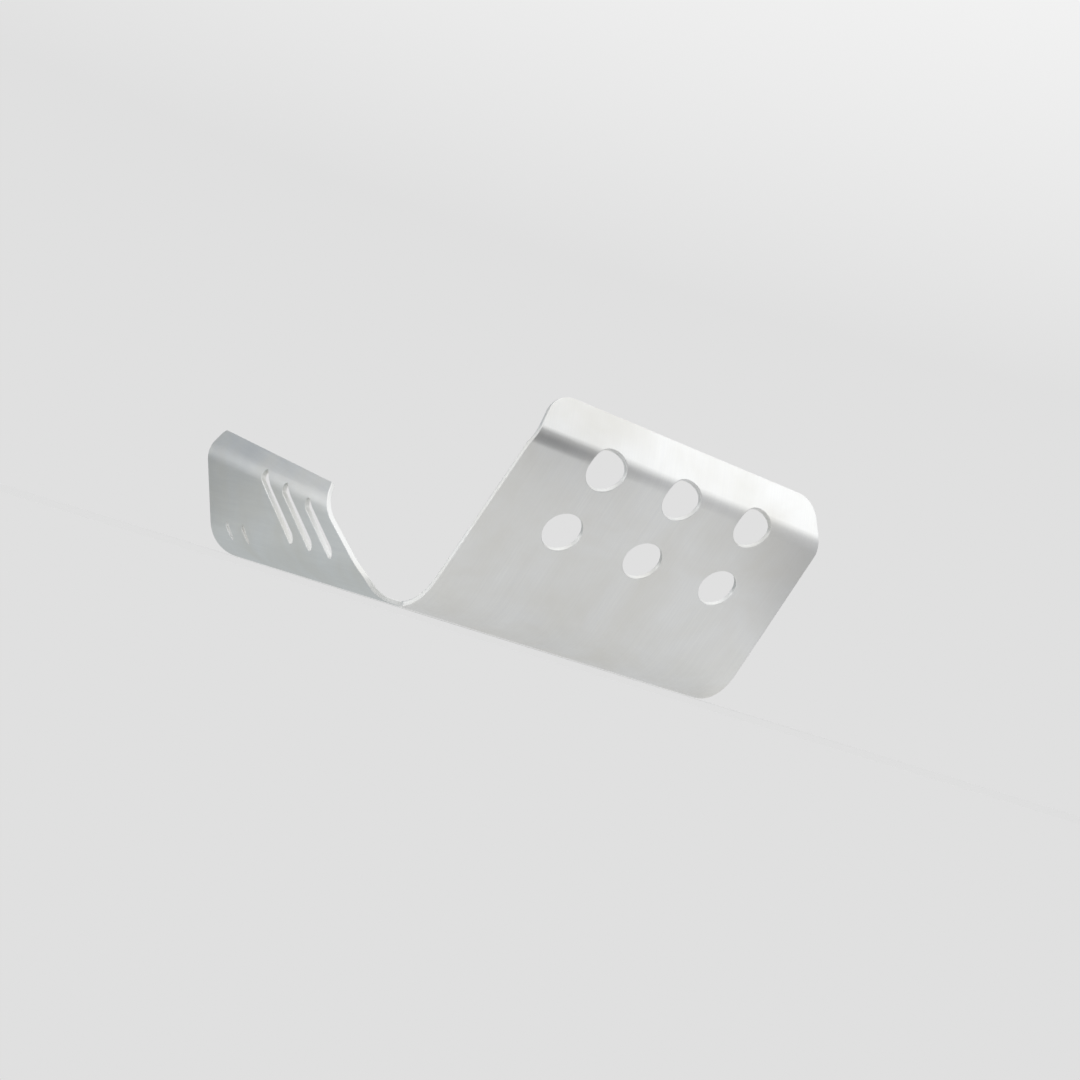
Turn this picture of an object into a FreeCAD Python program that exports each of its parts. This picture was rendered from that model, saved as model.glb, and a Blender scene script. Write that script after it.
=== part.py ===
import FreeCAD
import Part
import math
import os

# Engine guard for a motorbike: one aluminium sheet, cut flat and folded up into a tray.
# The floor lies under the engine, a perforated plate leans forward in front of it and a slotted wing
# stands at each side. Origin: centre of the four fixing bolts on the floor's underside.
# +X is the bike's left, +Y the rear and +Z up. Millimetres and degrees.

SIZES = [
    ("sheet_thickness", 3.5),
    # Floor, measured to the sharp corners that its folds round off
    ("floor_width", 236),
    ("front_reach", 200),
    ("rear_reach", 167.5),
    # Front plate
    ("front_fold_angle", 61),
    ("front_fold_radius", 42),
    ("plate_height", 130),
    ("plate_base_half_width", 117.2),
    ("plate_top_half_width", 110.5),
    ("plate_foot_setback", 24),
    ("plate_foot_radius", 14),
    ("lip_fold_angle", 45),
    ("lip_fold_radius", 16),
    ("lip_length", 29),
    ("lip_top_half_width", 100.5),
    ("lip_corner_radius", 17),
    ("lip_foot_radius", 20),
    # Round holes of the front plate
    ("hole_diameter", 25.4),
    ("lower_row_height", 79),
    ("lower_row_pitch", 60),
    ("upper_row_height", 123.5),
    ("upper_row_pitch", 56.5),
    # Side wings; heights are along the flat sheet, from the sharp floor corner
    ("wing_lean", 21),
    ("wing_fold_radius", 31),
    ("crease_height_rear", 80),
    ("crease_slope", 6),
    ("crease_angle", 50),
    ("crease_radius", 19),
    ("brim_height_rear", 98.4),
    ("brim_height_front", 68.4),
    ("brim_front_setback", 142.5),
    ("brim_corner_radius", 4),
    ("wing_knee_setback", 122.5),
    ("wing_knee_height", 44.5),
    ("wing_knee_radius", 15),
    ("wing_toe_setback", 72),
    ("wing_toe_height", 10),
    ("wing_toe_radius", 12),
    # Notch between the plate and each wing
    ("notch_depth", 26),
    ("notch_front_setback", 43),
    ("notch_rear_setback", 76),
    ("notch_radius", 10),
    # Slots of the wings
    ("slot_width", 8.8),
    ("slot_angle", 38.3),
    ("slot_pitch", 34.5),
    ("slot_foot_setback", 194.2),
    ("slot_foot_height", 25),
    ("slot_foot_step", 1.4),
    ("slot_head_height", 64.5),
    ("slot_head_step", 7.3),
    ("short_slot_width", 5),
    ("short_slot_length", 16),
    ("short_slot_angle", 48),
    ("short_slot_pitch", 35.9),
    ("short_slot_rear_gap", 43.7),
    ("short_slot_height", 18.6),
    # Fixing bolts through the floor
    ("bolt_hole_diameter", 9),
    ("bolt_spacing_across", 140),
    ("bolt_spacing_along", 220),
]

doc = FreeCAD.newDocument("engine_guard")
sheet = doc.addObject("Spreadsheet::Sheet", "sizes")
for row, (name, value) in enumerate(SIZES, start=1):
    sheet.set(f"A{row}", name)
    sheet.set(f"B{row}", str(value))
    sheet.setAlias(f"B{row}", name)
doc.recompute()


def size(name):
    return float(sheet.get(name))


def vec(x, y, z=0.0):
    return FreeCAD.Vector(x, y, z)


UP = vec(0, 0, 1)
THICKNESS = size("sheet_thickness")
# Even points along an arc of the outline that carry it round a fold
ARC_POINTS = 7


class Flat:
    """A flat region of the folded sheet: tells where a point of the blank goes."""

    def __init__(self, mark, across, place, out, inward):
        self.mark, self.across = mark, across
        self.place, self.out, self.inward = place, out, inward
        self.along = UP.cross(across)
        self.side = inward.cross(out)

    def at(self, point, depth=0.0):
        step = point - self.mark
        spot = self.place + self.out * step.dot(self.across) + self.side * step.dot(self.along)
        return spot + self.inward * depth

    def turned(self, mark, across):
        out = self.out * across.dot(self.across) + self.side * across.dot(self.along)
        return Flat(mark, across, self.at(mark), out, self.inward)

    def skin(self, face, depth):
        east = self.at(self.mark + vec(1, 0)) - self.place
        north = self.at(self.mark + vec(0, 1)) - self.place
        base = self.at(vec(0, 0), depth)
        rows = [(east[i], north[i], self.inward[i], base[i]) for i in range(3)]
        return face.transformed(FreeCAD.Matrix(*rows[0], *rows[1], *rows[2], 0, 0, 0, 1), True)

    def faces(self, face, is_cut):
        near = self.skin(face, 0.0)
        far = self.skin(face, THICKNESS)
        pairs = zip(face.Edges, near.Edges)
        walls = [edge.extrude(self.inward * THICKNESS) for blank, edge in pairs if is_cut(blank)]
        return [near, far] + walls


class Bend:
    """A fold of the sheet towards its inner face, from the flat region before it."""

    def __init__(self, flat, angle, radius):
        self.flat, self.angle, self.radius = flat, math.radians(angle), radius
        self.middle_radius = radius - THICKNESS / 2
        self.length = self.middle_radius * self.angle
        self.centre = flat.place + flat.inward * radius

    def after(self):
        out = self.flat.out * math.cos(self.angle) + self.flat.inward * math.sin(self.angle)
        inward = self.flat.inward * math.cos(self.angle) - self.flat.out * math.sin(self.angle)
        mark = self.flat.mark + self.flat.across * self.length
        return Flat(mark, self.flat.across, self.centre - inward * self.radius, out, inward)

    def cylinder(self, depth):
        # Angle 90 degrees on the cylinder is where the fold starts, clear of its seam
        x, y, z = self.flat.out * -1, self.flat.inward * -1, self.flat.side * -1
        rows = [(x[i], y[i], z[i], self.centre[i]) for i in range(3)]
        surface = Part.Cylinder()
        surface.Radius = self.radius - depth
        surface.transform(FreeCAD.Matrix(*rows[0], *rows[1], *rows[2], 0, 0, 0, 1))
        return surface

    def spot(self, point):
        step = point - self.flat.mark
        turn = step.dot(self.flat.across) / self.middle_radius
        return FreeCAD.Base.Vector2d(math.pi / 2 + turn, -step.dot(self.flat.along))

    def wrapped(self, edge, surface):
        if isinstance(edge.Curve, Part.Line):
            ends = [self.spot(vertex.Point) for vertex in edge.Vertexes]
            return Part.Geom2d.Line2dSegment(*ends).toShape(surface)
        points = [self.spot(point) for point in edge.discretize(ARC_POINTS)]
        curve = Part.Geom2d.BSplineCurve2d()
        curve.interpolate(Points=points, Parameters=list(range(ARC_POINTS)))
        return curve.toShape(surface)

    def skin(self, face, depth):
        surface = self.cylinder(depth)
        wires = [[self.wrapped(edge, surface) for edge in wire.OrderedEdges] for wire in face.Wires]
        outer = max(range(len(wires)), key=lambda i: face.Wires[i].BoundBox.DiagonalLength)
        skin = Part.Face(surface, Part.Wire(wires[outer]))
        for i, edges in enumerate(wires):
            if i != outer:
                skin.cutHoles([Part.Wire(edges)])
        skin.validate()
        return skin, [edge for edges in wires for edge in edges]

    def faces(self, face, is_cut):
        near, near_edges = self.skin(face, 0.0)
        far, far_edges = self.skin(face, THICKNESS)
        blank_edges = [edge for wire in face.Wires for edge in wire.OrderedEdges]
        walls = []
        for blank, near_edge, far_edge in zip(blank_edges, near_edges, far_edges):
            if is_cut(blank):
                walls.append(Part.makeRuledSurface(near_edge, far_edge))
        return [near, far] + walls


def rounded_outline(corners):
    """A closed wire through (point, radius) corners, each rounded by a tangent arc."""
    count = len(corners)
    starts = []
    for i, (point, radius) in enumerate(corners):
        before = (corners[i - 1][0] - point).normalize()
        ahead = (corners[(i + 1) % count][0] - point).normalize()
        if radius == 0:
            starts.append((point, point, None))
            continue
        half = before.getAngle(ahead) / 2
        reach = radius / math.tan(half)
        middle = (before + ahead).normalize()
        top = point + middle * (radius / math.sin(half) - radius)
        starts.append((point + before * reach, point + ahead * reach, top))
    edges = []
    for i, (begin, end, top) in enumerate(starts):
        if top is not None:
            edges.append(Part.Arc(begin, top, end).toShape())
        following = starts[(i + 1) % count][0]
        if end.distanceToPoint(following) > 1e-6:
            edges.append(Part.LineSegment(end, following).toShape())
    return Part.Wire(edges)


def polygon(*points):
    return Part.Face(Part.makePolygon(list(points) + [points[0]]))


def slot(foot, head, width):
    """A slot with round ends, from one end's centre to the other's."""
    run = (head - foot).normalize()
    edge = UP.cross(run) * (width / 2)
    cap = run * (width / 2)
    sides = [
        Part.LineSegment(foot + edge, head + edge).toShape(),
        Part.Arc(head + edge, head + cap, head - edge).toShape(),
        Part.LineSegment(head - edge, foot - edge).toShape(),
        Part.Arc(foot - edge, foot - cap, foot + edge).toShape(),
    ]
    return Part.Face(Part.Wire(sides))


def mirrored(shape):
    return shape.mirror(vec(0, 0), vec(1, 0))


# Folds of the front: the floor, the lower bend, the plate, the upper bend and the lip
front_set_back = size("front_fold_radius") * math.tan(math.radians(size("front_fold_angle") / 2))
front_line = front_set_back - size("front_reach")
floor = Flat(vec(0, front_line), vec(0, -1), vec(0, front_line), vec(0, -1), UP)
front_bend = Bend(floor, size("front_fold_angle"), size("front_fold_radius"))
plate = front_bend.after()
lip_set_back = size("lip_fold_radius") * math.tan(math.radians(size("lip_fold_angle") / 2))
plate_run = size("plate_height") - front_set_back - lip_set_back
plate_end = plate.turned(plate.mark + plate.across * plate_run, plate.across)
lip_bend = Bend(plate_end, size("lip_fold_angle"), size("lip_fold_radius"))
lip = lip_bend.after()
lip_end = lip.mark.y - (size("lip_length") - lip_set_back)


def on_plate(x, height):
    """A point of the blank, from its height up the plate above the sharp front corner."""
    return vec(x, plate.mark.y - (height - front_set_back))


# Folds of the wing on the bike's left: the lower bend, the panel, the crease and the brim
wing_fold_angle = 90 - size("wing_lean")
wing_set_back = size("wing_fold_radius") * math.tan(math.radians(wing_fold_angle / 2))
floor_half = size("floor_width") / 2 - wing_set_back
wing_start = floor.turned(vec(floor_half, 0), vec(1, 0))
wing_bend = Bend(wing_start, wing_fold_angle, size("wing_fold_radius"))
panel = wing_bend.after()


def on_panel(setback, height):
    """A point of the blank, from its distances behind and above the sharp front and floor corners."""
    return vec(panel.mark.x - wing_set_back + height, setback - size("front_reach"))


wing_length = size("front_reach") + size("rear_reach")
slope = math.radians(size("crease_slope"))
crease_run = vec(-math.sin(slope), -math.cos(slope))
crease_across = vec(math.cos(slope), -math.sin(slope))
crease_rear = on_panel(wing_length, size("crease_height_rear"))
crease_set_back = size("crease_radius") * math.tan(math.radians(size("crease_angle") / 2))
crease_start = panel.turned(crease_rear - crease_across * crease_set_back, crease_across)
crease_bend = Bend(crease_start, size("crease_angle"), size("crease_radius"))
brim = crease_bend.after()

# Outline of the blank, from the middle of the lip round the bike's left to the middle of the rear edge
notch_x = size("floor_width") / 2 - size("notch_depth")
notch_front_y = size("notch_front_setback") - size("front_reach")
notch_rear_y = size("notch_rear_setback") - size("front_reach")
plate_foot_y = size("plate_foot_setback") - size("front_reach")
brim_rear = on_panel(wing_length, size("brim_height_rear"))
brim_front = on_panel(size("brim_front_setback"), size("brim_height_front"))
wing_knee = on_panel(size("wing_knee_setback"), size("wing_knee_height"))
wing_toe = on_panel(size("wing_toe_setback"), size("wing_toe_height"))
half_outline = [
    (vec(size("lip_top_half_width"), lip_end), size("lip_corner_radius")),
    (vec(size("plate_top_half_width"), plate_end.mark.y), size("lip_foot_radius")),
    (vec(size("plate_base_half_width"), plate_foot_y), size("plate_foot_radius")),
    (vec(notch_x, notch_front_y), size("notch_radius")),
    (vec(notch_x, notch_rear_y), size("notch_radius")),
    (wing_toe, size("wing_toe_radius")),
    (wing_knee, size("wing_knee_radius")),
    (brim_front, size("brim_corner_radius")),
    (brim_rear, size("brim_corner_radius")),
]
other_half = [(vec(-point.x, point.y), radius) for point, radius in reversed(half_outline)]
blank = Part.Face(rounded_outline(half_outline + other_half))

# Cut-outs that the folds cross: the plate's upper holes and the wings' slots
cut_outs = []
for column in (-1, 0, 1):
    centre = on_plate(column * size("upper_row_pitch"), size("upper_row_height"))
    cut_outs.append(Part.Face(Part.Wire(Part.makeCircle(size("hole_diameter") / 2, centre))))
slant = 1 / math.tan(math.radians(size("slot_angle")))
for place in range(3):
    foot_height = size("slot_foot_height") - place * size("slot_foot_step")
    head_height = size("slot_head_height") - place * size("slot_head_step")
    foot_setback = size("slot_foot_setback") - place * size("slot_pitch")
    foot = on_panel(foot_setback, foot_height)
    head = on_panel(foot_setback + (head_height - foot_height) * slant, head_height)
    cut_outs.append(slot(foot, head, size("slot_width")))
    cut_outs.append(mirrored(cut_outs[-1]))
lean = math.radians(size("short_slot_angle"))
half_length = (size("short_slot_length") - size("short_slot_width")) / 2
half_run = vec(math.sin(lean), math.cos(lean)) * half_length
for place in range(2):
    setback = wing_length - size("short_slot_rear_gap") - place * size("short_slot_pitch")
    middle = on_panel(setback, size("short_slot_height"))
    cut_outs.append(slot(middle - half_run, middle + half_run, size("short_slot_width")))
    cut_outs.append(mirrored(cut_outs[-1]))
blank = blank.cut(cut_outs).Faces[0]
outline_edges = Part.Compound(blank.Edges)


def is_cut(edge):
    """True for an edge of the blank, false for a line where two regions meet."""
    middle = edge.valueAt((edge.FirstParameter + edge.LastParameter) / 2)
    return outline_edges.distToShape(Part.Vertex(middle))[0] < 1e-5


# Regions of the blank; the divide runs across the notches, just in front of the wings' toes
far = 600
divide = min(notch_rear_y, wing_toe.y) - size("notch_radius") / 2
bend_edge = panel.mark.x


def strip(top, bottom):
    return polygon(vec(-far, top), vec(far, top), vec(far, bottom), vec(-far, bottom))


def crease_line(distance):
    base = crease_start.mark + crease_across * distance
    return base - crease_run * far, base + crease_run * far


crease_first = crease_line(0)
crease_second = crease_line(crease_bend.length)
crease_third = crease_line(far)
floor_area = polygon(
    vec(-far, front_line),
    vec(far, front_line),
    vec(far, divide),
    vec(floor_half, divide),
    vec(floor_half, far),
    vec(-floor_half, far),
    vec(-floor_half, divide),
    vec(-far, divide),
)
wing_bend_area = polygon(
    vec(floor_half, divide), vec(bend_edge, divide), vec(bend_edge, far), vec(floor_half, far)
)
wing_area = polygon(vec(bend_edge, divide), vec(far, divide), vec(far, far), vec(bend_edge, far))
under_crease = polygon(vec(0, far), vec(0, -far), crease_first[1], crease_first[0])
regions = [
    (floor, floor_area, False),
    (front_bend, strip(front_line, plate.mark.y), False),
    (plate, strip(plate.mark.y, plate_end.mark.y), False),
    (lip_bend, strip(plate_end.mark.y, lip.mark.y), False),
    (lip, strip(lip.mark.y, -far), False),
    (wing_bend, wing_bend_area, True),
    (panel, wing_area.common(under_crease).Faces[0], True),
    (crease_bend, polygon(crease_first[0], crease_first[1], crease_second[1], crease_second[0]), True),
    (brim, polygon(crease_second[0], crease_second[1], crease_third[1], crease_third[0]), True),
]

faces = []
for region, area, both_sides in regions:
    for piece in blank.common(area).Faces:
        made = region.faces(piece, is_cut)
        faces.extend(made)
        if both_sides:
            faces.extend(mirrored(face) for face in made)

shell = Part.Compound(faces)
shell.sewShape(0.001)
solid = Part.Solid(shell.Shells[0])
if solid.Volume < 0:
    solid.reverse()

folded = doc.addObject("Part::Feature", "folded_sheet")
folded.Shape = solid

# Round holes bored square through the flat plate and floor
drills = []
for column in (-1, 0, 1):
    spot = plate.at(on_plate(0, size("lower_row_height")))
    drill = doc.addObject("Part::Cylinder", f"plate_drill_{column + 2}")
    drill.setExpression("Radius", "sizes.hole_diameter / 2")
    drill.setExpression("Height", "sizes.sheet_thickness * 3")
    base = spot - plate.inward * THICKNESS
    drill.Placement = FreeCAD.Placement(base, FreeCAD.Rotation(UP, plate.inward))
    drill.setExpression("Placement.Base.x", f"sizes.lower_row_pitch * {column}")
    drills.append(drill)
for across in (-1, 1):
    for along in (-1, 1):
        drill = doc.addObject("Part::Cylinder", f"bolt_drill_{len(drills) - 2}")
        drill.setExpression("Radius", "sizes.bolt_hole_diameter / 2")
        drill.setExpression("Height", "sizes.sheet_thickness * 3")
        drill.setExpression("Placement.Base.x", f"sizes.bolt_spacing_across / 2 * {across}")
        drill.setExpression("Placement.Base.y", f"sizes.bolt_spacing_along / 2 * {along}")
        drill.setExpression("Placement.Base.z", "-sizes.sheet_thickness")
        drills.append(drill)
drill_set = doc.addObject("Part::MultiFuse", "drill_set")
drill_set.Shapes = drills
guard = doc.addObject("Part::Cut", "guard_sheet")
guard.Base = folded
guard.Tool = drill_set
guard.Label = "guard_sheet"
doc.recompute()

failed = [item.Name for item in doc.Objects if "Invalid" in item.State or "Error" in item.State]
if failed:
    raise RuntimeError(f"objects failed: {failed}")
if guard.Shape.isNull() or not guard.Shape.isValid():
    raise RuntimeError(f"{guard.Label}: shape is not valid")
if len(guard.Shape.Solids) != 1:
    raise RuntimeError(f"{guard.Label}: {len(guard.Shape.Solids)} solids")

os.makedirs("parts", exist_ok=True)
guard.Shape.exportStep(f"parts/{guard.Label}.step")
box = guard.Shape.BoundBox
spans = [(box.XMin, box.XMax), (box.YMin, box.YMax), (box.ZMin, box.ZMax)]
print(guard.Label, round(guard.Shape.Volume), "mm3", [[round(end, 1) for end in span] for span in spans])
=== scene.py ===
import math

import bmesh
import bpy
from mathutils import Matrix, Vector

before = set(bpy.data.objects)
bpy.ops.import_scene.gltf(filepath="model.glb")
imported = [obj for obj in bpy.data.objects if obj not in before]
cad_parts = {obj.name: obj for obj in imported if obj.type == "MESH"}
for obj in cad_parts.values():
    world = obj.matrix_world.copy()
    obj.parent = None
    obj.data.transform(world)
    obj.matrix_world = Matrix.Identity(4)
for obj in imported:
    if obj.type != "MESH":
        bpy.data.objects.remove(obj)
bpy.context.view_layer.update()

# Engine guard: one folded aluminium sheet, standing on its floor. Metres; +Y is the rear and +Z up.

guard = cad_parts["guard_sheet"]
MM = 0.001


def colour(code):
    """Linear colour of an sRGB hex code."""
    parts = [int(code[i:i + 2], 16) / 255 for i in (1, 3, 5)]
    return [p / 12.92 if p <= 0.04045 else ((p + 0.055) / 1.055) ** 2.4 for p in parts] + [1.0]


def add_node(tree, kind, inputs=None, **settings):
    """Adds a node with its settings, socket values and links."""
    made = tree.nodes.new(kind)
    for name, value in settings.items():
        setattr(made, name, value)
    for name, value in (inputs or {}).items():
        if isinstance(value, bpy.types.NodeSocket):
            tree.links.new(value, made.inputs[name])
        else:
            made.inputs[name].default_value = value
    return made


def new_material(name):
    """An empty node material and its tree."""
    material = bpy.data.materials.new(name)
    material.use_nodes = True
    material.node_tree.nodes.clear()
    return material, material.node_tree


# Satin aluminium sheet: cold rolled, brushed lengthwise and left bare. The rolls and the brush leave fine
# streaks along the sheet, handling leaves soft cloudy patches, and the surface reflects in a broad haze.
# Real brush streaks are about 0.3 mm wide; they are drawn wider so that they show.
STREAK_WIDTH = 0.9 * MM
STREAK_LENGTH = 60 * MM
CLOUD_SIZE = 50 * MM
GRIT_SIZE = 0.5 * MM
BUMP_DEPTH = 0.03 * MM

satin, tree = new_material("satin_aluminium_sheet")
place = add_node(tree, "ShaderNodeTexCoord").outputs["Object"]
streak_place = add_node(
    tree, "ShaderNodeMapping",
    {"Vector": place, "Scale": (1 / STREAK_WIDTH, 1 / STREAK_LENGTH, 1 / STREAK_LENGTH)})
streaks = add_node(
    tree, "ShaderNodeTexNoise",
    {"Vector": streak_place.outputs["Vector"], "Scale": 1.0, "Detail": 3.0, "Roughness": 0.6})
clouds = add_node(
    tree, "ShaderNodeTexNoise",
    {"Vector": place, "Scale": 1 / CLOUD_SIZE, "Detail": 4.0, "Roughness": 0.55, "Distortion": 0.4})
grit = add_node(
    tree, "ShaderNodeTexNoise",
    {"Vector": place, "Scale": 1 / GRIT_SIZE, "Detail": 2.0, "Roughness": 0.5})

# Colour: streaks a shade apart, under a thin warm film in patches
tone = add_node(
    tree, "ShaderNodeMapRange",
    {"Value": streaks.outputs["Fac"], "From Min": 0.3, "From Max": 0.7, "To Min": 0.0, "To Max": 1.0})
streak_tint = add_node(
    tree, "ShaderNodeMix",
    {"Factor": tone.outputs["Result"], "A": colour("#e5e6e6"), "B": colour("#eaebea")},
    data_type="RGBA")
cloud_amount = add_node(
    tree, "ShaderNodeMapRange",
    {"Value": clouds.outputs["Fac"], "From Min": 0.38, "From Max": 0.66, "To Min": 0.0, "To Max": 0.6})
sheet_tint = add_node(
    tree, "ShaderNodeMix",
    {"Factor": cloud_amount.outputs["Result"], "A": streak_tint.outputs["Result"], "B": colour("#e0dfda")},
    data_type="RGBA")

# Haze: duller where the film lies, and a little from streak to streak
haze = add_node(
    tree, "ShaderNodeMapRange",
    {"Value": clouds.outputs["Fac"], "From Min": 0.3, "From Max": 0.7, "To Min": 0.44, "To Max": 0.50})
streak_haze = add_node(
    tree, "ShaderNodeMapRange",
    {"Value": streaks.outputs["Fac"], "From Min": 0.3, "From Max": 0.7, "To Min": -0.015, "To Max": 0.015})
roughness = add_node(
    tree, "ShaderNodeMath", {0: haze.outputs["Result"], 1: streak_haze.outputs["Result"]}, operation="ADD")

streak_bump = add_node(
    tree, "ShaderNodeBump",
    {"Height": streaks.outputs["Fac"], "Strength": 0.08, "Distance": BUMP_DEPTH})
grit_bump = add_node(
    tree, "ShaderNodeBump",
    {"Height": grit.outputs["Fac"], "Normal": streak_bump.outputs["Normal"], "Strength": 0.10,
     "Distance": BUMP_DEPTH})
shader = add_node(
    tree, "ShaderNodeBsdfPrincipled",
    {"Base Color": sheet_tint.outputs["Result"], "Metallic": 1.0, "Roughness": roughness.outputs["Value"],
     "Normal": grit_bump.outputs["Normal"]})
add_node(tree, "ShaderNodeOutputMaterial", {"Surface": shader.outputs["BSDF"]})

for slot in guard.material_slots:
    slot.material = satin

# Edges: every cut edge is deburred, which rounds it by about half a millimetre
EDGE_ROUNDING = 0.5 * MM
merge = guard.modifiers.new("joined_triangles", "WELD")
merge.merge_threshold = 0.01 * MM
flats = guard.modifiers.new("whole_flats", "DECIMATE")
flats.decimate_type = "DISSOLVE"
flats.angle_limit = math.radians(0.3)
rounding = guard.modifiers.new("deburred_edges", "BEVEL")
rounding.width = EDGE_ROUNDING
rounding.segments = 3
rounding.limit_method = "ANGLE"
rounding.angle_limit = math.radians(50)
rounding.use_clamp_overlap = False
rounding.loop_slide = False
guard.modifiers.new("smooth_folds", "WEIGHTED_NORMAL")

# Studio floor: matt pale paper, which keeps the shadow; the metal mirrors mostly its plain colour
FLOOR_RADIUS = 30.0
FLOOR_LEVEL = -0.5 * MM
PLAIN_SHARE = 0.7
paper, tree = new_material("matt_studio_paper")
lit_paper = add_node(tree, "ShaderNodeBsdfDiffuse", {"Color": colour("#dcdcdc")})
plain_paper = add_node(tree, "ShaderNodeEmission", {"Color": colour("#efefef"), "Strength": 1.0})
path = add_node(tree, "ShaderNodeLightPath")
mirrored = add_node(
    tree, "ShaderNodeMath",
    {0: path.outputs["Is Glossy Ray"], 1: path.outputs["Is Transmission Ray"]}, operation="MAXIMUM")
share = add_node(
    tree, "ShaderNodeMath", {0: mirrored.outputs["Value"], 1: PLAIN_SHARE}, operation="MULTIPLY")
shown = add_node(
    tree, "ShaderNodeMixShader",
    {0: share.outputs["Value"], 1: lit_paper.outputs["BSDF"], 2: plain_paper.outputs["Emission"]})
add_node(tree, "ShaderNodeOutputMaterial", {"Surface": shown.outputs["Shader"]})

mesh = bpy.data.meshes.new("studio_floor")
bm = bmesh.new()
bmesh.ops.create_circle(bm, cap_ends=True, segments=64, radius=FLOOR_RADIUS)
bmesh.ops.translate(bm, verts=bm.verts, vec=(0.0, 0.0, FLOOR_LEVEL))
bm.to_mesh(mesh)
bm.free()
floor = bpy.data.objects.new("studio_floor", mesh)
bpy.context.scene.collection.objects.link(floor)
mesh.materials.append(paper)


def studio_card(name, shade, corners):
    """A plain card that shows in the metal alone and gives its folds and flats their darker side."""
    material, tree = new_material(name)
    plain = add_node(tree, "ShaderNodeEmission", {"Color": colour(shade), "Strength": 1.0})
    add_node(tree, "ShaderNodeOutputMaterial", {"Surface": plain.outputs["Emission"]})
    mesh = bpy.data.meshes.new(name)
    bm = bmesh.new()
    bmesh.ops.contextual_create(bm, geom=[bm.verts.new(corner) for corner in corners])
    bm.to_mesh(mesh)
    bm.free()
    card = bpy.data.objects.new(name, mesh)
    bpy.context.scene.collection.objects.link(card)
    mesh.materials.append(material)
    card.visible_camera = False
    card.visible_diffuse = False
    card.visible_shadow = False


# In front: a long standing card and a dark leaning one, both for the lip's fold, the dark one at the fold's
# -X end, and one on the floor for the plate's upper corner at +X
studio_card(
    "front_card", "#c4c4c6",
    [(-0.09, -0.845, 0), (0.60, -0.125, 0), (0.60, -0.125, 0.17), (-0.09, -0.845, 0.17)])
studio_card(
    "fold_end_card", "#242426",
    [(-0.115, -0.48, 0), (0.0, -0.365, 0), (0.05, -0.445, 0.25), (-0.065, -0.56, 0.25)])
studio_card(
    "plate_corner_card", "#9c9c9e",
    [(0.19, -0.45, 0), (0.45, -0.45, 0), (0.45, -0.15, 0), (0.19, -0.15, 0)])

# Behind: a standing card for the brims; beside the -X wing: two on the floor, the rear one darker, so that
# the wing darkens towards its rear. They lie between the paper and the guard's underside.
JUST_UNDER = -0.3 * MM
CARDS_MEET = 0.24
studio_card(
    "brim_card", "#64717c",
    [(-0.45, 0.60, 0), (0.35, 0.60, 0), (0.35, 0.60, 0.55), (-0.45, 0.60, 0.55)])
studio_card(
    "wing_card", "#c2c6c7",
    [(-0.50, -0.13, JUST_UNDER), (-0.09, -0.13, JUST_UNDER),
     (-0.09, CARDS_MEET, JUST_UNDER), (-0.48, CARDS_MEET, JUST_UNDER)])
studio_card(
    "wing_rear_card", "#9c9e9c",
    [(-0.48, CARDS_MEET, JUST_UNDER), (-0.09, CARDS_MEET, JUST_UNDER),
     (-0.09, 0.60, JUST_UNDER), (-0.45, 0.60, JUST_UNDER)])


def soft_lamp(name, watts, width, height, spot, target):
    """A large soft lamp for the metal, aimed at a point of the guard."""
    data = bpy.data.lights.new(name, "AREA")
    data.shape = "RECTANGLE"
    data.size, data.size_y = width, height
    data.energy = watts
    lamp = bpy.data.objects.new(name, data)
    bpy.context.scene.collection.objects.link(lamp)
    lamp.location = spot
    lamp.rotation_euler = (Vector(target) - Vector(spot)).to_track_quat("-Z", "Y").to_euler()
    lamp.visible_camera = False
    lamp.visible_diffuse = False


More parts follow.
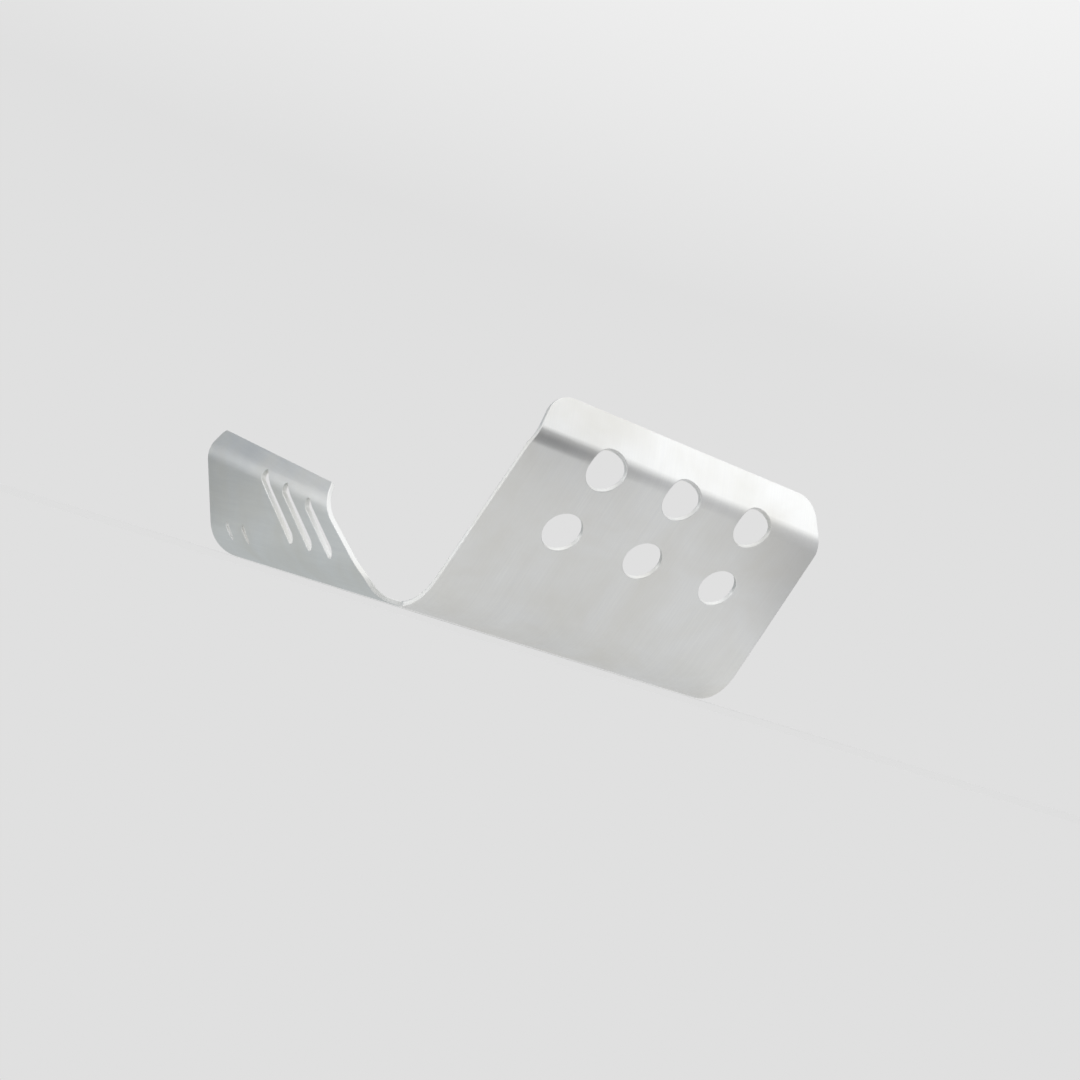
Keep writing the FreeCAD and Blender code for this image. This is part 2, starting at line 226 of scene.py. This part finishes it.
soft_lamp(
    "front_lamp", watts=0.66, width=0.7, height=0.5, spot=(0.50, -0.73, 0.61), target=(0.0, -0.26, 0.12))
soft_lamp(
    "side_lamp", watts=1.1, width=0.6, height=0.3, spot=(-1.08, 0.60, 0.15), target=(-0.1, -0.2, 0.07))

# Light: a soft pale dome, brighter overhead, which is also the backdrop
world = bpy.data.worlds.new("studio")
bpy.context.scene.world = world
world.use_nodes = True
tree = world.node_tree
tree.nodes.clear()
direction = add_node(tree, "ShaderNodeTexCoord").outputs["Generated"]
height = add_node(tree, "ShaderNodeSeparateXYZ", {"Vector": direction}).outputs["Z"]
level = add_node(
    tree, "ShaderNodeMapRange",
    {"Value": height, "From Min": 0.25, "From Max": 1.0, "To Min": 0.745, "To Max": 1.25})
dome = add_node(
    tree, "ShaderNodeBackground", {"Color": colour("#ffffff"), "Strength": level.outputs["Result"]})
add_node(tree, "ShaderNodeOutputWorld", {"Surface": dome.outputs["Background"]})

# Camera: low, in front of the -X wing, turned and rolled to the photograph's viewing angle
AZIMUTH, ELEVATION, ROLL = math.radians(-30.77), math.radians(-4.01), math.radians(-17.15)
CAMERA_SPOT = (-0.5148, -0.9802, 0.0)
back = Vector((
    math.sin(AZIMUTH) * math.cos(ELEVATION),
    -math.cos(AZIMUTH) * math.cos(ELEVATION),
    math.sin(ELEVATION)))
level_right = Vector((math.cos(AZIMUTH), math.sin(AZIMUTH), 0.0))
upright = back.cross(level_right)
right = level_right * math.cos(ROLL) - upright * math.sin(ROLL)
up = level_right * math.sin(ROLL) + upright * math.cos(ROLL)
camera = bpy.data.objects.new("camera", bpy.data.cameras.new("camera"))
bpy.context.scene.collection.objects.link(camera)
camera.data.lens = 50.0
camera.data.sensor_width = 36.0
camera.matrix_world = Matrix((
    (right.x, up.x, back.x, CAMERA_SPOT[0]),
    (right.y, up.y, back.y, CAMERA_SPOT[1]),
    (right.z, up.z, back.z, CAMERA_SPOT[2]),
    (0, 0, 0, 1)))
bpy.context.scene.camera = camera
bpy.context.scene.view_settings.view_transform = "Standard"
